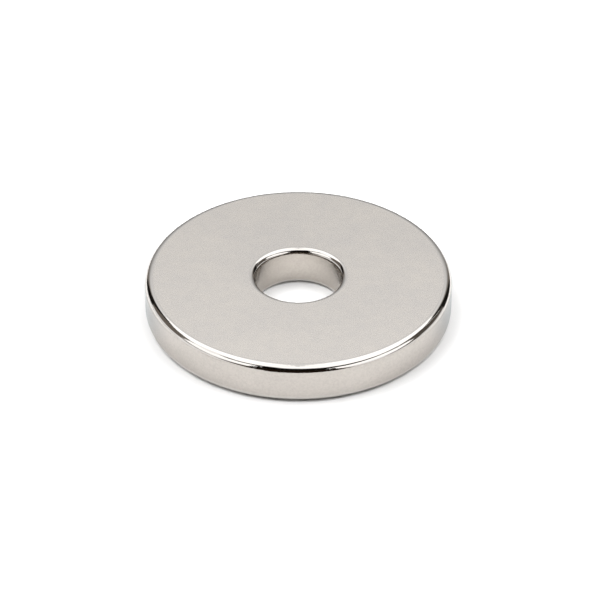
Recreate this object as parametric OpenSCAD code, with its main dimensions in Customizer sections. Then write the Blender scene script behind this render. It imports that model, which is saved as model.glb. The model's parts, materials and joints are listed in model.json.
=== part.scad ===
// Flat ring magnet: one pressed and sintered ring, ground flat on its two pole
// faces, tumbled until every edge is round, and plated all over.
// It lies on one pole face. The axis of the bore is +Z, and the origin is the
// middle of the bottom pole face.

/* [Ring] */
// Diameter over the rim
rim_d = 22.5; // [12:0.5:60]
// Thickness, from one pole face to the other
ring_t = 3; // [2:0.1:12]

/* [Bore] */
// Diameter of the plain hole through the middle
bore_d = 6.3; // [2:0.1:8]

/* [Edges] */
// Radius that tumbling leaves on the two edges of the rim
rim_edge_r = 0.55; // [0.1:0.05:0.8]
// Radius that tumbling leaves on the two edges of the bore
bore_edge_r = 0.4; // [0.1:0.05:0.8]

/* [Hidden] */

// Smoothness of the round faces
$fn = 240;

// Warm grey of the nickel plating
nickel = [0.80, 0.78, 0.75];

// Distances from the axis: the rim, the bore, and the middle between them
rim_r = rim_d / 2;
bore_r = bore_d / 2;
mid_r = (rim_r + bore_r) / 2;

// The pole faces are flat between these two distances from the axis
face_in_r = bore_r + bore_edge_r;
face_out_r = rim_r - rim_edge_r;

// One side of the section: a straight wall at wall_r with a round edge at each
// end. inward is the way from the wall into the ring, 1 or -1 along the radius.
module round_edged_wall(wall_r, edge_r, inward) {
    for (edge_z = [edge_r, ring_t - edge_r])
        translate([wall_r + inward * edge_r, edge_z])
            circle(r = edge_r);
    translate([min(wall_r, mid_r), edge_r])
        square([abs(mid_r - wall_r), ring_t - 2 * edge_r]);
}

// The section of the ring, on one side of its axis
module ring_section() {
    translate([face_in_r, 0])
        square([face_out_r - face_in_r, ring_t]);
    round_edged_wall(bore_r, bore_edge_r, 1);
    round_edged_wall(rim_r, rim_edge_r, -1);
}

// The whole magnet: its section turned once round the axis
module ring_magnet() {
    color(nickel)
        rotate_extrude()
            ring_section();
}

ring_magnet();
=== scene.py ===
# %% [markdown]
# # A nickel-plated ring magnet
# The real thing is a disc of pressed and sintered magnet alloy with a hole through it.
# The alloy rusts and chips easily, so the factory tumbles the rings in a drum of small
# stones until every corner is round, and then plates them with nickel.
# This lesson makes one ring in Blender. It needs three things: the ring's shape, the
# plating's finish, and a small studio for the bright metal to mirror.

# %% Load the measured model
import math

import bpy
from mathutils import Matrix, Vector
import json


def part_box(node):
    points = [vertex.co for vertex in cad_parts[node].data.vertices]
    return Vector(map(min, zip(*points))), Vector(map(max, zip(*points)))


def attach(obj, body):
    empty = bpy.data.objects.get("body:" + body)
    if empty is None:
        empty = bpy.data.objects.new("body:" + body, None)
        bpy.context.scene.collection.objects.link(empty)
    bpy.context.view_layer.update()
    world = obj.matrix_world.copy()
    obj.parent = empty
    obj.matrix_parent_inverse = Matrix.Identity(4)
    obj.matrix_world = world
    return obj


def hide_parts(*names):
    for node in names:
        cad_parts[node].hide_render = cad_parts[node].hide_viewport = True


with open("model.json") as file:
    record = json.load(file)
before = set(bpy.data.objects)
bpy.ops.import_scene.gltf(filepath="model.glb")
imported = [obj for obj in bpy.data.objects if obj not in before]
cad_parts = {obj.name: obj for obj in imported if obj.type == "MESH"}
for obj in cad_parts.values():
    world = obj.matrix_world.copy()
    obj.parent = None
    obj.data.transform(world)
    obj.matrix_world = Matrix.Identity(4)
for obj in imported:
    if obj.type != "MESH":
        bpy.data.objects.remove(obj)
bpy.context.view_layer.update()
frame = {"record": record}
MM = 0.001

# %% [markdown]
# ## The sizes
# The engineering model already fixes every size, so none is typed in again here.
# The box of the ring gives its thickness. The record lists the radius and the straight wall
# of the bore and of the rim. What is left of the thickness, halved, is the edge's round.

# %% Read the ring's sizes
ring_low, ring_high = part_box("ring_magnet")
mounts = {mount["name"]: mount["dims"] for mount in frame["record"]["mounts"]}
thickness = ring_high.z - ring_low.z
rim_radius = mounts["rim"]["r_mm"] * MM
bore_radius = mounts["bore"]["r_mm"] * MM
rim_edge = (thickness - mounts["rim"]["length_mm"] * MM) / 2
bore_edge = (thickness - mounts["bore"]["length_mm"] * MM) / 2
print("rim and bore radius in mm", round(rim_radius / MM, 3), round(bore_radius / MM, 3))
print("thickness in mm", round(thickness / MM, 3))
print("edge rounds in mm", round(rim_edge / MM, 3), round(bore_edge / MM, 3))

# %% [markdown]
# ## Small helpers for node trees
# A node tree is a list of boxes joined by wires. Four short helpers keep the later cells
# readable. They add a box, join a wire or write a number, add a sum, and add a smooth step.


# %% Node helpers
def add(tree, kind, **settings):
    """Adds one node and sets its options."""
    node = tree.nodes.new(kind)
    for name, value in settings.items():
        setattr(node, name, value)
    return node


def plug(tree, value, socket):
    """Joins a wire to a socket, or writes a plain number into it."""
    if isinstance(value, bpy.types.NodeSocket):
        tree.links.new(value, socket)
    else:
        socket.default_value = value


def sum_of(tree, operation, *values):
    """A Math node: returns its result as a wire."""
    node = add(tree, "ShaderNodeMath", operation=operation)
    for value, socket in zip(values, node.inputs):
        plug(tree, value, socket)
    return node.outputs[0]


def ramp(tree, value, start, end, low=0.0, high=1.0):
    """A smooth step from low to high as value goes from start to end."""
    node = add(tree, "ShaderNodeMapRange", interpolation_type="SMOOTHSTEP")
    for number, socket in zip((value, start, end, low, high), node.inputs):
        plug(tree, number, socket)
    return node.outputs["Result"]


# %% [markdown]
# ## The ring's shape as a rule
# The ring is a shape with a rule: one rounded section, swept once round the bore's axis.
# It could be a cylinder with a hole cut through it and the corners bevelled, but a cut
# leaves long thin faces, and a bevel gives every corner the same radius. Geometry Nodes
# say the rule itself. A rectangle is drawn, its four corners are rounded with their own
# radii, and the closed outline is swept along a circle.

# %% Start the tree and name its inputs
sweep = bpy.data.node_groups.new("ring_sweep", "GeometryNodeTree")
sweep.interface.new_socket("Ring", in_out="OUTPUT", socket_type="NodeSocketGeometry")
ring_inputs = {
    "Rim radius": ("NodeSocketFloat", rim_radius),
    "Bore radius": ("NodeSocketFloat", bore_radius),
    "Thickness": ("NodeSocketFloat", thickness),
    "Rim edge round": ("NodeSocketFloat", rim_edge),
    "Bore edge round": ("NodeSocketFloat", bore_edge),
    "Steps round the ring": ("NodeSocketInt", 320),
    "Steps round an edge": ("NodeSocketInt", 15),
    "Finish": ("NodeSocketMaterial", None),
}
for input_name, (kind, _) in ring_inputs.items():
    sweep.interface.new_socket(input_name, in_out="INPUT", socket_type=kind)
given = add(sweep, "NodeGroupInput").outputs
print("ring_sweep takes", len(ring_inputs), "inputs")

# %% [markdown]
# The section is a rectangle as wide as the ring's wall and as high as the ring. Fillet
# Curve rounds its corners. The corners on the left belong to the bore, and those on the
# right to the rim, so a switch on the corner's place picks the radius.

# %% Draw the rounded section
wall = sum_of(sweep, "SUBTRACT", given["Rim radius"], given["Bore radius"])
outline = add(sweep, "GeometryNodeCurvePrimitiveQuadrilateral", mode="RECTANGLE")
plug(sweep, wall, outline.inputs["Width"])
plug(sweep, given["Thickness"], outline.inputs["Height"])
corner = add(sweep, "ShaderNodeSeparateXYZ")
plug(sweep, add(sweep, "GeometryNodeInputPosition").outputs[0], corner.inputs[0])
on_rim_side = sum_of(sweep, "GREATER_THAN", corner.outputs["X"], 0.0)
corner_round = add(sweep, "GeometryNodeSwitch", input_type="FLOAT")
plug(sweep, on_rim_side, corner_round.inputs["Switch"])
plug(sweep, given["Bore edge round"], corner_round.inputs["False"])
plug(sweep, given["Rim edge round"], corner_round.inputs["True"])
rounded = add(sweep, "GeometryNodeFilletCurve", mode="POLY")
plug(sweep, outline.outputs[0], rounded.inputs["Curve"])
plug(sweep, given["Steps round an edge"], rounded.inputs["Count"])
plug(sweep, corner_round.outputs[0], rounded.inputs["Radius"])
print("nodes for the section", len(sweep.nodes))

# %% [markdown]
# Curve to Mesh carries the section along a circle that runs through the middle of the
# wall. The circle lies at half the thickness, so that the ring rests on the table.

# %% Sweep the section round the axis
middle = sum_of(
    sweep, "DIVIDE", sum_of(sweep, "ADD", given["Rim radius"], given["Bore radius"]), 2.0
)
half_thick = sum_of(sweep, "DIVIDE", given["Thickness"], 2.0)
path = add(sweep, "GeometryNodeCurvePrimitiveCircle", mode="RADIUS")
plug(sweep, given["Steps round the ring"], path.inputs["Resolution"])
plug(sweep, middle, path.inputs["Radius"])
swept = add(sweep, "GeometryNodeCurveToMesh")
plug(sweep, path.outputs["Curve"], swept.inputs["Curve"])
plug(sweep, rounded.outputs["Curve"], swept.inputs["Profile Curve"])
up = add(sweep, "ShaderNodeCombineXYZ")
plug(sweep, half_thick, up.inputs["Z"])
lifted = add(sweep, "GeometryNodeTransform")
plug(sweep, swept.outputs["Mesh"], lifted.inputs["Geometry"])
plug(sweep, up.outputs[0], lifted.inputs["Translation"])
print("nodes with the sweep", len(sweep.nodes))

# %% [markdown]
# ## True normals
# Bright metal shows every error in its normals. Blender averages the faces round a point,
# so at the line where a flat face meets a round edge the normal would lean a little, and
# the whole flat face would mirror as if it were bowed. The exact normal is easy to say.
# Clamp the point to the core that the rounds are rolled about, and the normal is the
# direction from there to the point.

# %% Find the distance from the axis and the way outwards
place = add(sweep, "ShaderNodeSeparateXYZ")
plug(sweep, add(sweep, "GeometryNodeInputPosition").outputs[0], place.inputs[0])
outwards = add(sweep, "ShaderNodeCombineXYZ")
plug(sweep, place.outputs["X"], outwards.inputs["X"])
plug(sweep, place.outputs["Y"], outwards.inputs["Y"])
distance = add(sweep, "ShaderNodeVectorMath", operation="LENGTH")
plug(sweep, outwards.outputs[0], distance.inputs[0])
unit = add(sweep, "ShaderNodeVectorMath", operation="NORMALIZE")
plug(sweep, outwards.outputs[0], unit.inputs[0])
print("nodes with the way outwards", len(sweep.nodes))

# %% [markdown]
# The core is the ring less its rounds. A point on a flat face or a straight wall has its
# nearest core point straight below it, and a point on an edge has it at the middle of the
# edge's round.

# %% Find the nearest point of the core
core_in = sum_of(sweep, "ADD", given["Bore radius"], given["Bore edge round"])
core_out = sum_of(sweep, "SUBTRACT", given["Rim radius"], given["Rim edge round"])
core = sum_of(
    sweep, "MINIMUM", sum_of(sweep, "MAXIMUM", distance.outputs["Value"], core_in), core_out
)
across = sum_of(sweep, "SUBTRACT", distance.outputs["Value"], core)
edge_here = add(sweep, "GeometryNodeSwitch", input_type="FLOAT")
plug(sweep, sum_of(sweep, "LESS_THAN", across, 0.0), edge_here.inputs["Switch"])
plug(sweep, given["Rim edge round"], edge_here.inputs["False"])
plug(sweep, given["Bore edge round"], edge_here.inputs["True"])
edge_round = edge_here.outputs[0]
core_top = sum_of(sweep, "SUBTRACT", given["Thickness"], edge_round)
core_z = sum_of(
    sweep, "MINIMUM", sum_of(sweep, "MAXIMUM", place.outputs["Z"], edge_round), core_top
)
along = sum_of(sweep, "SUBTRACT", place.outputs["Z"], core_z)
print("nodes with the core", len(sweep.nodes))

# %% [markdown]
# The way from the core to the point has a part across the wall and a part up or down. Added
# and brought to length 1, they are the normal.

# %% Point the normal away from the core
sideways = add(sweep, "ShaderNodeVectorMath", operation="SCALE")
plug(sweep, unit.outputs[0], sideways.inputs[0])
plug(sweep, across, sideways.inputs["Scale"])
upward = add(sweep, "ShaderNodeCombineXYZ")
plug(sweep, along, upward.inputs["Z"])
leaning = add(sweep, "ShaderNodeVectorMath", operation="ADD")
plug(sweep, sideways.outputs[0], leaning.inputs[0])
plug(sweep, upward.outputs[0], leaning.inputs[1])
true_normal = add(sweep, "ShaderNodeVectorMath", operation="NORMALIZE")
plug(sweep, leaning.outputs[0], true_normal.inputs[0])
print("nodes with the normals", len(sweep.nodes))

# %% [markdown]
# The last boxes finish the mesh. Realize Instances turns anything that is only a copy into
# real faces, and Set Material gives the ring its plating, which the next part makes.

# %% Shade smooth, set the normals and the finish, and close the tree
smooth = add(sweep, "GeometryNodeSetShadeSmooth")
plug(sweep, lifted.outputs[0], smooth.inputs["Geometry"])
normals = add(sweep, "GeometryNodeSetMeshNormal", mode="FREE", domain="POINT")
plug(sweep, smooth.outputs[0], normals.inputs["Mesh"])
plug(sweep, true_normal.outputs[0], normals.inputs["Custom Normal"])
real = add(sweep, "GeometryNodeRealizeInstances")
plug(sweep, normals.outputs[0], real.inputs["Geometry"])
coated = add(sweep, "GeometryNodeSetMaterial")
plug(sweep, real.outputs[0], coated.inputs["Geometry"])
plug(sweep, given["Finish"], coated.inputs["Material"])
plug(sweep, coated.outputs[0], add(sweep, "NodeGroupOutput").inputs["Ring"])
print("nodes in ring_sweep", len(sweep.nodes))

# %% [markdown]
# ## The plating
# Nickel is a warm light grey metal. On a ring like this it shows two finishes. The pole
# faces were ground flat before plating, and the fine grinding grain stays under the thin
# coat, so they look satin. The tumbled edges and the walls are close to a mirror, with
# the slight ripple that a plating bath leaves.
# One metal shader does both. Its roughness and its bump follow the place on the ring.

# %% Start the plating material
plating = bpy.data.materials.new("nickel_plating")
plating.use_nodes = True
coat = plating.node_tree
coat.nodes.clear()
metal = add(coat, "ShaderNodeBsdfPrincipled")
metal.inputs["Metallic"].default_value = 1.0
plug(coat, metal.outputs[0], add(coat, "ShaderNodeOutputMaterial").inputs["Surface"])
spot = add(coat, "ShaderNodeTexCoord").outputs["Object"]
spot_xyz = add(coat, "ShaderNodeSeparateXYZ")
plug(coat, spot, spot_xyz.inputs[0])
flat_spot = add(coat, "ShaderNodeCombineXYZ")
plug(coat, spot_xyz.outputs["X"], flat_spot.inputs["X"])
plug(coat, spot_xyz.outputs["Y"], flat_spot.inputs["Y"])
spot_radius = add(coat, "ShaderNodeVectorMath", operation="LENGTH")
plug(coat, flat_spot.outputs[0], spot_radius.inputs[0])
spot_radius = spot_radius.outputs["Value"]
print("nodes at the start of the plating", len(coat.nodes))

# %% [markdown]
# Masks say where a point is. The first is 1 on the flat pole faces and fades out where the
# edges start to turn down. The others go by how far a point lies below the nearer face,
# counted in edge rounds: 0 at the face and 1 where the straight wall begins. The walls'
# darker tint, which is painted shade, reaches a little way round the upper edges.

# %% Masks for the faces and the walls
FADE = 0.06 * MM
WALL_COAT = (0.65, 1.12)
# how far round the upper edges the walls' painted shade reaches
UPPER_SHADE = (0.45, 0.75)
MIDDLE_BAND = (0.45, 0.55)
face_in = bore_radius + bore_edge
face_out = rim_radius - rim_edge
on_face = sum_of(
    coat,
    "MULTIPLY",
    ramp(coat, spot_radius, face_in, face_in + 2 * FADE),
    ramp(coat, spot_radius, face_out, face_out - 2 * FADE),
)
from_middle = sum_of(
    coat, "ABSOLUTE", sum_of(coat, "SUBTRACT", spot_xyz.outputs["Z"], thickness / 2)
)
edge_here = ramp(coat, spot_radius, face_in, face_out, bore_edge, rim_edge)
depth = sum_of(
    coat, "DIVIDE", sum_of(coat, "SUBTRACT", thickness / 2, from_middle), edge_here
)
on_wall = ramp(coat, depth, *WALL_COAT)
round_the_edge = ramp(coat, depth, *UPPER_SHADE)
band_foot, band_top = (share * thickness for share in MIDDLE_BAND)
above_middle = ramp(coat, spot_xyz.outputs["Z"], band_foot, band_top)


def mix_of(part, first, second):
    """A number between two, by a part from 0 to 1."""
    node = add(coat, "ShaderNodeMix", data_type="FLOAT")
    for value, number in ((part, 0), (first, 2), (second, 3)):
        plug(coat, value, node.inputs[number])
    return node.outputs[0]


# painted shade: where the walls' darker tint covers the metal
shaded_wall_share = mix_of(above_middle, on_wall, round_the_edge)
print("edge rounds in the masks, in mm", round(bore_edge / MM, 3), round(rim_edge / MM, 3))


# %% [markdown]
# Noise makes the detail. Its scale is given as the real size of one speck, because
# Object coordinates are in metres. The grinding grain is a fifth of a millimetre, the
# ripple of the bath about half of one, and the stains in the colour several millimetres.


# %% Noise by real size
def specks(size, detail=2.0, roughness=0.5, seed=0.0):
    """Noise whose specks are about that many metres across."""
    node = add(coat, "ShaderNodeTexNoise", noise_dimensions="4D")
    plug(coat, spot, node.inputs["Vector"])
    node.inputs["W"].default_value = seed
    node.inputs["Scale"].default_value = 1.0 / size
    node.inputs["Detail"].default_value = detail
    node.inputs["Roughness"].default_value = roughness
    return node.outputs[0]


grain = specks(0.20 * MM, detail=2.0, roughness=0.6)
ripple = specks(0.45 * MM, detail=2.0, seed=3.0)
stain = specks(4.5 * MM, detail=3.0, seed=7.0)
clouds = specks(0.8 * MM, detail=3.0, roughness=0.65, seed=11.0)
flecks = specks(0.15 * MM, detail=1.0, seed=17.0)
NOISE_SPAN = (0.3, 0.7)
print("nodes with the noise", len(coat.nodes))

# %% [markdown]
# Roughness is how far a metal scatters what it mirrors: 0 is a perfect mirror. The satin
# faces are about 0.27, the walls 0.15 and the rubbed edges 0.065. The grain varies the
# roughness of the faces a little, and this is what makes them sparkle. A render with few
# samples shows that sparkle much stronger.

# %% Roughness: satin faces, bright edges and walls
FACE_ROUGH = (0.255, 0.285)
WALL_ROUGH = (0.13, 0.17)
EDGE_ROUGH = (0.05, 0.08)
face_rough = ramp(coat, grain, *NOISE_SPAN, *FACE_ROUGH)
wall_rough = ramp(coat, ripple, *NOISE_SPAN, *WALL_ROUGH)
edge_rough = ramp(coat, ripple, *NOISE_SPAN, *EDGE_ROUGH)
off_face_rough = mix_of(on_wall, edge_rough, wall_rough)
plug(coat, mix_of(on_face, off_face_rough, face_rough), metal.inputs["Roughness"])
print("roughness of face, wall and edge", FACE_ROUGH, WALL_ROUGH, EDGE_ROUGH)

# %% [markdown]
# Nickel is a slightly yellow grey, and never quite even. Small clouds and wide stains vary
# the faces, and fine flecks vary the walls. The walls are tinted a darker grey than the
# edges. That is painted shade, which tones down the sheet they mirror, since the sheet is lit past
# white. The bore is tinted darker and browner still. That is painted shade for the shade inside it
# and the brown light its walls mirror from each other.

# %% What varies in the colour
CLOUD_SHARE = 0.5
FLECK_SHARE = 0.65
stain_part = ramp(coat, stain, *NOISE_SPAN)
cloud_part = ramp(coat, clouds, *NOISE_SPAN)
fleck_part = ramp(coat, flecks, *NOISE_SPAN)
face_part = mix_of(CLOUD_SHARE, stain_part, cloud_part)
wall_part = mix_of(FLECK_SHARE, stain_part, fleck_part)
print("share of clouds and of flecks", CLOUD_SHARE, FLECK_SHARE)


def colour_between(part, first, second):
    """A colour between two, each one a wire or red, green and blue."""
    node = add(coat, "ShaderNodeMix", data_type="RGBA")
    plug(coat, part, node.inputs["Factor"])
    for colour, socket in ((first, node.inputs["A"]), (second, node.inputs["B"])):
        plug(coat, (*colour, 1.0) if isinstance(colour, tuple) else colour, socket)
    return node.outputs["Result"]


# %% [markdown]
# Each place gets a colour of its own, between two that are close together. The masks then
# choose: bore or rim, wall or edge, and last the flat faces.

# %% Colour: warm grey by the place on the ring, with painted shade on the walls and bore
face_tint = colour_between(face_part, (0.607, 0.578, 0.551), (0.665, 0.626, 0.581))
edge_tint = colour_between(stain_part, (0.620, 0.593, 0.566), (0.640, 0.613, 0.586))
# painted shade: the rim wall and the bore are tinted darker than the edges, and the bore darkest
# and brownest
shaded_rim_tint = colour_between(wall_part, (0.437, 0.408, 0.379), (0.507, 0.473, 0.438))
shaded_bore_tint = colour_between(wall_part, (0.405, 0.372, 0.337), (0.459, 0.423, 0.384))
from_bore = ramp(coat, spot_radius, bore_radius, bore_radius + bore_edge)
shaded_wall_tint = colour_between(from_bore, shaded_bore_tint, shaded_rim_tint)
off_face_tint = colour_between(shaded_wall_share, edge_tint, shaded_wall_tint)
plug(coat, colour_between(on_face, off_face_tint, face_tint), metal.inputs["Base Color"])
print("nodes in the plating", len(coat.nodes))

# %% [markdown]
# Bump leans the normals without moving the surface. The ripple of the bath is 4 thousandths
# of a millimetre high, and weak on the faces. The grinding grain is finer still. It hardly
# shows from the camera's distance, and is there for a closer look.

# %% Bump: grinding grain on the faces, bath ripple on the rest
GRAIN_HEIGHT = 0.001 * MM
RIPPLE_HEIGHT = 0.004 * MM
RIPPLE_ON_FACE = 0.15
grain_bump = add(coat, "ShaderNodeBump")
grain_bump.inputs["Distance"].default_value = GRAIN_HEIGHT
plug(coat, sum_of(coat, "MULTIPLY", grain, on_face), grain_bump.inputs["Height"])
ripple_bump = add(coat, "ShaderNodeBump")
ripple_bump.inputs["Distance"].default_value = RIPPLE_HEIGHT
ripple_share = ramp(coat, on_face, 0.0, 1.0, 1.0, RIPPLE_ON_FACE)
plug(coat, sum_of(coat, "MULTIPLY", ripple, ripple_share), ripple_bump.inputs["Height"])
plug(coat, grain_bump.outputs[0], ripple_bump.inputs["Normal"])
plug(coat, ripple_bump.outputs[0], metal.inputs["Normal"])
print("bump heights in mm", GRAIN_HEIGHT / MM, RIPPLE_HEIGHT / MM)

# %% [markdown]
# ## From rule to mesh
# The tree runs as a modifier on an empty mesh. Its inputs are set by their identifiers,
# and the result is then copied out as a plain mesh, which no longer needs the tree.

# %% Run the tree and keep its mesh
maker = bpy.data.objects.new("ring_maker", bpy.data.meshes.new("ring_maker"))
bpy.context.scene.collection.objects.link(maker)
modifier = maker.modifiers.new("ring_sweep", "NODES")
modifier.node_group = sweep
ring_inputs["Finish"] = ("NodeSocketMaterial", plating)
for item in sweep.interface.items_tree:
    if item.in_out == "INPUT":
        modifier[item.identifier] = ring_inputs[item.name][1]
graph = bpy.context.evaluated_depsgraph_get()
ring_mesh = bpy.data.meshes.new_from_object(maker.evaluated_get(graph), depsgraph=graph)
maker.modifiers.remove(modifier)
bpy.data.objects.remove(maker)
ring_mesh.name = "plated_ring"
ring = bpy.data.objects.new("plated_ring", ring_mesh)
bpy.context.scene.collection.objects.link(ring)
print("ring faces", len(ring_mesh.polygons), "materials", [m.name for m in ring_mesh.materials])

# %% [markdown]
# A mesh that looks right can still be wrong. A closed mesh whose faces all point outwards
# encloses a positive volume, which can be compared with the real one. The exact normals
# should lean only slightly from the faces that carry them, so the worst match is near 1.

# %% Measure the mesh: its volume, and how far the normals lean from the faces
volume = 0.0
leaning_most = 1.0
for face in ring_mesh.polygons:
    volume += face.center.dot(face.normal) * face.area / 3
corner_normals = ring_mesh.corner_normals
for face in ring_mesh.polygons:
    for index in face.loop_indices:
        leaning_most = min(leaning_most, corner_normals[index].vector.dot(face.normal))
print("volume in cubic mm", round(volume / MM**3, 2))
print("worst match of normal and face", round(leaning_most, 5))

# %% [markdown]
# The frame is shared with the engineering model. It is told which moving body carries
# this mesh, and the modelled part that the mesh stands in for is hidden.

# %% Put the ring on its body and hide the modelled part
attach(ring, "root")
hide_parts("ring_magnet")
print("the frame knows", ring.name)

# %% [markdown]
# ## The table
# The ring lies on a wide white sheet with no gloss. It is much larger than the view, so
# that its far end meets the white surroundings without a line.

# %% Lay the white sheet
SHEET_HALF = 3.0
sheet_mesh = bpy.data.meshes.new("white_sheet")
sheet_corners = [(-1, -1), (1, -1), (1, 1), (-1, 1)]
sheet_mesh.from_pydata(
    [(x * SHEET_HALF, y * SHEET_HALF, 0.0) for x, y in sheet_corners], [], [(0, 1, 2, 3)]
)
white_sheet = bpy.data.objects.new("white_sheet", sheet_mesh)
bpy.context.scene.collection.objects.link(white_sheet)
paper = bpy.data.materials.new("white_paper")
paper.use_nodes = True
paper_shader = paper.node_tree.nodes["Principled BSDF"]
paper_shader.inputs["Roughness"].default_value = 1.0
paper_shader.inputs["Specular IOR Level"].default_value = 0.0
sheet_mesh.materials.append(paper)
print("sheet side in metres", 2 * SHEET_HALF)

# %% [markdown]
# Where the round edges come down to the sheet, the gap under them is thinner than a hair,
# and hardly any light gets in. A thin dark circle in the paper's colour stands for that.

# %% Darken the paper in the thin gap under the edges
GAP_STARTS = 0.5
GAP_FULL = 0.75
PAPER_WHITE = (0.90, 0.90, 0.90, 1.0)
GAP_DARK = (0.12, 0.11, 0.10, 1.0)
paper_tree = paper.node_tree
paper_spot = add(paper_tree, "ShaderNodeVectorMath", operation="LENGTH")
plug(paper_tree, add(paper_tree, "ShaderNodeTexCoord").outputs["Object"], paper_spot.inputs[0])
from_axis = paper_spot.outputs["Value"]
gap_in = ramp(
    paper_tree, from_axis, bore_radius + GAP_STARTS * bore_edge, bore_radius + GAP_FULL * bore_edge
)
gap_out = ramp(
    paper_tree, from_axis, rim_radius - GAP_STARTS * rim_edge, rim_radius - GAP_FULL * rim_edge
)
paper_colour = add(paper_tree, "ShaderNodeMix", data_type="RGBA")
plug(paper_tree, sum_of(paper_tree, "MULTIPLY", gap_in, gap_out), paper_colour.inputs["Factor"])
paper_colour.inputs["A"].default_value = PAPER_WHITE
paper_colour.inputs["B"].default_value = GAP_DARK
plug(paper_tree, paper_colour.outputs["Result"], paper_shader.inputs["Base Color"])
print("nodes in the paper", len(paper_tree.nodes))

# %% [markdown]
# ## The light
# White surroundings fill the view and what the metal mirrors. The white sheet is lit by
# lamps instead: a very wide one overhead, and one high up at the left, the right and the
# back. Together they leave a thin soft shade round the ring's foot and inside the bore.
# The sheet is lit a little past white, as in a studio. In the view it is plain white to
# the edge of that shade, and the walls mirror it all.

# %% White surroundings and the lamps
world = bpy.data.worlds.new("white_room")
bpy.context.scene.world = world
world.use_nodes = True
world.node_tree.nodes["Background"].inputs["Color"].default_value = (1.0, 1.0, 1.0, 1.0)
world.node_tree.nodes["Background"].inputs["Strength"].default_value = 1.0
world.cycles_visibility.diffuse = False
SHEET_LIGHT = 1.571 * math.pi
LAMPS = {
    "overhead_lamp": (0, 90, 90, 0.317),
    "left_lamp": (-90, 60, 40, 0.315),
    "right_lamp": (90, 60, 40, 0.236),
    "back_lamp": (180, 60, 50, 0.132),
}
for lamp_name, (azimuth, elevation, width, share) in LAMPS.items():
    lamp_data = bpy.data.lights.new(lamp_name, "SUN")
    lamp_data.angle = math.radians(width)
    lamp_data.energy = SHEET_LIGHT * share / math.sin(math.radians(elevation))
    lamp = bpy.data.objects.new(lamp_name, lamp_data)
    lamp.rotation_euler = (math.radians(90 - elevation), 0.0, math.radians(azimuth))
    lamp.visible_glossy = False
    bpy.context.scene.collection.objects.link(lamp)
print("lamps", len(LAMPS))


# %% [markdown]
# ## Cards for the metal to mirror
# A mirror has no look of its own: it shows the room. So bright metal is shown with cards
# standing round it. Dark cards draw the black lines that give a round edge its
# shape, and bright ones the white bands between them.
# Each card here glows by itself, from its foot to its top, and its borders may be soft.
# Only the metal sees the cards, so they don't shade the white sheet. A real studio can't
# split the light that way: here the two are set apart, so that each can be set exactly.


# %% The glow of a card
def card_finish(name, colour, levels, soft=(0.02, 0.02, 0.02, 0.02), solid=1.0):
    """A glow given as (height up the card, strength) pairs, with soft borders."""
    finish = bpy.data.materials.new(name)
    finish.use_nodes = True
    tree = finish.node_tree
    tree.nodes.clear()
    across_up = add(tree, "ShaderNodeSeparateXYZ")
    plug(tree, add(tree, "ShaderNodeUVMap", uv_map="card").outputs[0], across_up.inputs[0])
    u, v = across_up.outputs["X"], across_up.outputs["Y"]
    steps = add(tree, "ShaderNodeValToRGB")
    plug(tree, v, steps.inputs[0])
    marks = steps.color_ramp.elements
    while len(marks) < len(levels):
        marks.new(0.5)
    for mark, (height, strength) in zip(marks, levels):
        mark.position = height
        mark.color = (strength, strength, strength, 1.0)
    glow = add(tree, "ShaderNodeEmission")
    glow.inputs["Color"].default_value = (*colour, 1.0)
    plug(tree, steps.outputs["Color"], glow.inputs["Strength"])
    left, right, foot, top = soft
    cover = sum_of(
        tree,
        "MULTIPLY",
        sum_of(tree, "MULTIPLY", ramp(tree, u, 0.0, left), ramp(tree, u, 1.0, 1.0 - right)),
        sum_of(tree, "MULTIPLY", ramp(tree, v, 0.0, foot), ramp(tree, v, 1.0, 1.0 - top)),
    )
    mixed = add(tree, "ShaderNodeMixShader")
    plug(tree, sum_of(tree, "MULTIPLY", cover, solid), mixed.inputs[0])
    plug(tree, add(tree, "ShaderNodeBsdfTransparent").outputs[0], mixed.inputs[1])
    plug(tree, glow.outputs[0], mixed.inputs[2])
    plug(tree, mixed.outputs[0], add(tree, "ShaderNodeOutputMaterial").inputs["Surface"])
    return finish


def even(strength):
    """The levels of a card that glows the same from its foot to its top."""
    return [(0.0, strength), (1.0, strength)]


# %% [markdown]
# The cards stand in layers, each at its own distance from the ring. Where two cards
# overlap, the metal mirrors the one that stands nearer.

# %% The layers that the cards stand in
COLUMNS, ROWS = 24, 12
MAT_HEIGHT = 0.02 * MM
DISTANCE = {
    "softbox": 0.60,
    "rear": 0.57,
    "backdrop": 0.55,
    "low": 0.52,
    "window": 0.50,
    "haze": 0.475,
    "bar": 0.47,
    "side": 0.46,
    "wedge": 0.45,
    "camera_end": 0.445,
    "camera": 0.44,
    "gap": 0.43,
}
print("layers of cards", len(DISTANCE))

# %% [markdown]
# Every card and mat is a small grid of faces. The grid lets it bend round the ring, and its
# u and v run from 0 to 1 across it and up it, which is what the glow reads. Cards and mats
# differ only in where they put a point, so each one hands the grid its own rule.


# %% The grid that a card or a mat is made of
def panel(name, place, finish):
    """A grid of faces whose points come from place(u, v)."""
    points, faces, uvs = [], [], []
    for row in range(ROWS + 1):
        for column in range(COLUMNS + 1):
            u, v = column / COLUMNS, row / ROWS
            points.append(place(u, v))
            uvs.append((u, v))
    for row in range(ROWS):
        for column in range(COLUMNS):
            first = row * (COLUMNS + 1) + column
            faces.append((first, first + 1, first + COLUMNS + 2, first + COLUMNS + 1))
    mesh = bpy.data.meshes.new(name)
    mesh.from_pydata(points, [], faces)
    layer = mesh.uv_layers.new(name="card")
    for loop in mesh.loops:
        layer.data[loop.index].uv = uvs[loop.vertex_index]
    mesh.materials.append(finish)
    made = bpy.data.objects.new(name, mesh)
    bpy.context.scene.collection.objects.link(made)
    made.visible_camera = False
    made.visible_diffuse = False
    made.visible_transmission = False
    made.visible_shadow = False


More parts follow.
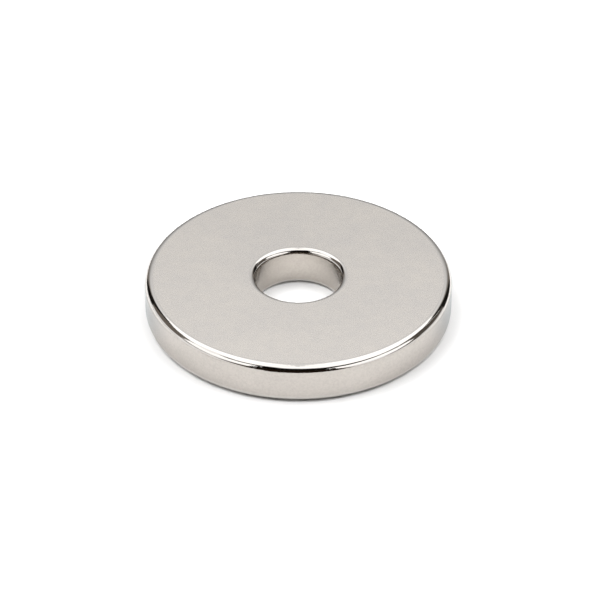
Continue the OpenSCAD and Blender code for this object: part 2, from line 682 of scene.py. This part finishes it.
# %% [markdown]
# Azimuth 0 is the camera's side, and grows to the right. A standing card is a piece of a
# sphere round the ring: its two side edges are each given as the azimuth and elevation of
# the foot and then of the top. A mat lies on the sheet: its side edges are each given as
# an azimuth and two distances from the middle.


# %% A card or a mat between its two side edges
def between(first, last, u):
    """The numbers of a side edge, u of the way from the first to the last."""
    return [a + (b - a) * u for a, b in zip(first, last)]


def card(name, first, last, finish, layer):
    """A card between two side edges, each one the azimuth and elevation of foot and top."""
    distance = DISTANCE[layer]

    def place(u, v):
        edge = [math.radians(angle) for angle in between(first, last, u)]
        azimuth, elevation = between(edge[:2], edge[2:], v)
        level = distance * math.cos(elevation)
        return (
            level * math.sin(azimuth),
            -level * math.cos(azimuth),
            distance * math.sin(elevation),
        )

    panel(name, place, finish)


def mat(name, first, last, finish):
    """A mat on the sheet from one side edge to the other."""

    def place(u, v):
        azimuth, near, far = between(first, last, u)
        azimuth = math.radians(azimuth)
        reach = near * (far / near) ** v
        return (reach * math.sin(azimuth), -reach * math.cos(azimuth), MAT_HEIGHT)

    panel(name, place, finish)


# %% [markdown]
# The overhead softbox draws the white band on every upper edge. The backdrop behind the
# ring is what the flat face mirrors, so its slow change from grey to white is the slow
# change across the face.

# %% Overhead softbox and backdrop
NEUTRAL = (1.0, 1.0, 1.0)
BROWN = (1.0, 0.88, 0.76)
TAN = (1.0, 0.65, 0.40)
BLUISH = (0.70, 1.0, 1.20)
overhead_glow = card_finish(
    "overhead_glow", NEUTRAL, [(0.0, 1.85), (0.4, 1.85), (0.7, 1.72), (1.0, 1.55)]
)
card("overhead_softbox", (-180, 38, -180, 89.9), (180, 38, 180, 89.9), overhead_glow, "softbox")
backdrop_glow = card_finish(
    "backdrop_glow",
    NEUTRAL,
    [(0.0, 0.35), (0.25, 0.39), (0.5, 0.51), (0.7, 0.74), (0.8, 0.86), (0.9, 0.97), (1.0, 1.12)],
    (0.22, 0.20, 0.001, 0.001),
)
card("backdrop", (142, 0, 142, 43), (218, 0, 218, 43), backdrop_glow, "backdrop")
rear_glow = card_finish("rear_glow", BROWN, [(0.0, 0.25), (1.0, 0.15)])
card("rear_left", (-128, -1, -128, 49), (-172, -1, -172, 38), rear_glow, "rear")
card("rear_right", (128, -1, 128, 46), (172, -1, 172, 40), rear_glow, "rear")

# %% [markdown]
# Two tall windows, at the front left and the front right, draw the white bands on the
# edges that face them. Beside and behind them the light is low and weaker.

# %% Bright windows left and right, and the low light beside and behind them
left_glow = card_finish(
    "left_glow", NEUTRAL, [(0.0, 1.2), (0.4, 1.2), (0.5, 1.25), (0.6, 1.5), (0.7, 1.7), (1.0, 1.7)]
)
right_glow = card_finish(
    "right_glow", NEUTRAL, [(0.0, 1.1), (0.2, 1.15), (0.4, 1.55), (0.6, 1.75), (1.0, 1.65)]
)
low_glow = card_finish("low_glow", NEUTRAL, [(0.0, 1.0), (1.0, 1.05)])
card("window_left", (-34, -1, -34, 50), (-87, -1, -105, 50), left_glow, "window")
card("window_right", (26, -1, 26, 50), (87, -1, 92, 50), right_glow, "window")
card("low_left", (-84, -1, -84, 26), (-142, -1, -142, 26), low_glow, "low")
card("low_right", (84, -1, 84, 26), (138, -1, 138, 26), low_glow, "low")

# %% [markdown]
# Each window has a dark bar above it and a dark foot below. They turn one broad white
# band into thin white lines with dark ones between them, as on real bright edges.

# %% Dark bars above the windows and dark feet below them
bar_glow = card_finish("bar_glow", BROWN, even(0.05), (0.02, 0.02, 0.1, 0.1))
bar_end_glow = card_finish("bar_end_glow", BROWN, even(0.1), (0.01, 0.5, 0.1, 0.1))
foot_glow = card_finish("foot_glow", TAN, even(0.06), (0.02, 0.02, 0.1, 0.1))
haze_glow = card_finish("haze_glow", NEUTRAL, even(1.35), (0.2, 0.2, 0.2, 0.2))
card("bar_left", (-34, 52.5, -34, 65), (-62, 52.5, -62, 63), bar_glow, "bar")
card("bar_left_end", (-62, 52, -62, 63), (-88, 58, -88, 62), bar_end_glow, "bar")
card("bar_left_haze", (-72, 46, -72, 66), (-112, 48, -112, 66), haze_glow, "haze")
card("bar_right", (25, 38.5, 25, 61), (74, 45, 74, 53.5), bar_glow, "bar")
card("bar_right_end", (74, 45, 74, 53.5), (95, 39, 95, 52), bar_glow, "bar")
card("foot_left", (-34, 6, -34, 27), (-60, 17, -60, 20), foot_glow, "bar")
card("foot_left_end", (-60, 17.5, -60, 19.5), (-88, 20, -88, 27), foot_glow, "bar")
card("foot_right", (25, -1, 25, 26), (38, 3, 38, 4.5), foot_glow, "bar")
card("foot_right_end", (60, 9, 60, 11.5), (93, 11, 93, 27), foot_glow, "bar")

# %% [markdown]
# The camera's side of a studio is dark. The big card there draws the black line along the
# front of the rim and the back of the bore. The side cards and wedges draw the brown and
# black crescents where both edges turn away at the left and at the right.

# %% Dark cards: behind the camera and at the sides
camera_glow = card_finish(
    "camera_glow",
    TAN,
    [(0.0, 0.03), (0.3, 0.015), (0.6, 0.002), (1.0, 0.0)],
    (0.001, 0.001, 0.001, 0.22),
)
side_glow = card_finish("side_glow", BROWN, [(0.0, 0.2), (1.0, 0.18)], (0.13, 0.001, 0.15, 0.1))
dark_side_glow = card_finish(
    "dark_side_glow", BROWN, [(0.0, 0.12), (1.0, 0.1)], (0.03, 0.001, 0.15, 0.06)
)
wedge_glow = card_finish("wedge_glow", BROWN, even(0.01), (0.1, 0.1, 0.1, 0.03))
card("camera_card", (-22, -1, -36, 71), (28.5, -1, 24, 67), camera_glow, "camera")
card("camera_card_end", (-35, 7, -35, 70), (-20, 3, -20, 70), camera_glow, "camera_end")
card("side_left", (-83, 21.5, -101, 53), (-131, 9, -128, 50.5), side_glow, "side")
card("side_right", (86, 12, 97, 53), (126, 7, 126, 48), dark_side_glow, "side")
card("wedge_left", (-121, 9, -131, 33), (-142, -1, -145, 33), wedge_glow, "wedge")
card("wedge_left_top", (-131, 32, -139, 48), (-147, 32, -153, 44), wedge_glow, "wedge")
card("wedge_right", (118, 3, 131, 45), (142, -3, 144, 43), wedge_glow, "wedge")

# %% [markdown]
# Two cards never meet exactly. Thin bright gaps between them break up both ends of the
# black line.

# %% Thin bright gaps at both ends of the camera card
gap_glow = card_finish("gap_glow", NEUTRAL, even(1.6))
card("gap_left", (-33.0, 28, -33.0, 44), (-32.1, 28, -32.1, 44), gap_glow, "gap")
card("low_gap_left", (-31.0, 27, -31.0, 37), (-30.5, 27, -30.5, 37), gap_glow, "gap")
card("high_gap_left", (-29.6, 43, -32.4, 53), (-28.8, 43, -31.4, 53), gap_glow, "gap")
card("gap_right", (21.8, 26, 21.8, 38), (23.0, 26, 23.0, 38), gap_glow, "gap")
card("thin_gap_right", (24.3, 27, 24.3, 41), (24.7, 27, 24.7, 41), gap_glow, "gap")

# %% [markdown]
# Metal mirrors the ground too. Far mats in front and behind are dark, so the black lines
# there go on below the horizon. Mats under the windows are bright. Two faint bluish ones
# by the ring's sides cool and darken the ends of the wall, where it mirrors them.

# %% Mats: the dark ground in front and behind, and the brighter ground under the windows
front_glow = card_finish("front_glow", TAN, even(0.02), (0.1, 0.3, 0.05, 0.001))
ground_glow = card_finish(
    "ground_glow", NEUTRAL, [(0.0, 0.12), (1.0, 0.25)], (0.1, 0.1, 0.05, 0.001)
)
bright_glow = card_finish("bright_glow", NEUTRAL, even(1.28), (0.1, 0.1, 0.3, 0.001))
mat("front_mat", (-23, 0.060, 0.45), (31, 0.060, 0.45), front_glow)
mat("rear_mat", (142, 0.0205, 0.56), (218, 0.0205, 0.56), ground_glow)
cool_glow = card_finish(
    "cool_glow", BLUISH, even(0.4), (0.35, 0.35, 0.001, 0.3), solid=0.3
)
mat("cool_mat_left", (-62, 0.0113, 0.017), (-130, 0.0113, 0.017), cool_glow)
mat("cool_mat_right", (62, 0.0113, 0.017), (130, 0.0113, 0.017), cool_glow)
mat("bright_mat_left", (-30, 0.0165, 0.50), (-90, 0.0165, 0.50), bright_glow)
mat("bright_mat_right", (31, 0.0165, 0.50), (90, 0.0165, 0.50), bright_glow)

# %% [markdown]
# ## The camera
# The view is a long lens from a little above, as for small parts in a catalogue. A lens
# this long keeps the ring's front and back nearly the same size. The camera looks almost
# at the ring's middle: a hair to the right of it, and just over half a millimetre below.

# %% Place the camera
LENS = 160.9
CAMERA_DISTANCE = 0.1970
CAMERA_UP = math.radians(36.03)
ROLL = math.radians(0.05)
LOOK_RIGHT = 0.119 * MM
LOOK_BELOW = 0.626 * MM
SENSOR_WIDTH = 36.0
camera_data = bpy.data.cameras.new("camera")
camera_data.lens = LENS
camera_data.sensor_width = SENSOR_WIDTH
camera_data.clip_start = 0.01
camera_data.clip_end = 20.0
camera = bpy.data.objects.new("camera", camera_data)
bpy.context.scene.collection.objects.link(camera)
bpy.context.scene.camera = camera
middle_of_ring = (ring_low + ring_high) / 2
back = Vector((0.0, -math.cos(CAMERA_UP), math.sin(CAMERA_UP)))
forward = -back
right = Vector((1.0, 0.0, 0.0))
above = right.cross(forward)
aside = right * (LOOK_RIGHT / CAMERA_DISTANCE)
below = above * (LOOK_BELOW / CAMERA_DISTANCE)
forward = (forward + aside - below).normalized()
right = forward.cross(above).normalized()
above = right.cross(forward)
right, above = (
    right * math.cos(ROLL) + above * math.sin(ROLL),
    above * math.cos(ROLL) - right * math.sin(ROLL),
)
turn = Matrix((right, above, -forward)).transposed().to_4x4()
camera.matrix_world = Matrix.Translation(middle_of_ring + back * CAMERA_DISTANCE) @ turn
print("camera above the sheet in mm", round(camera.matrix_world.translation.z / MM, 1))

# %% [markdown]
# Blender's usual colour view bends bright tones like film. Here the whites of the studio
# have to stay white, so the plain view is used.

# %% Plain colours, with no film curve
bpy.context.scene.view_settings.view_transform = "Standard"
print("colour view", bpy.context.scene.view_settings.view_transform)
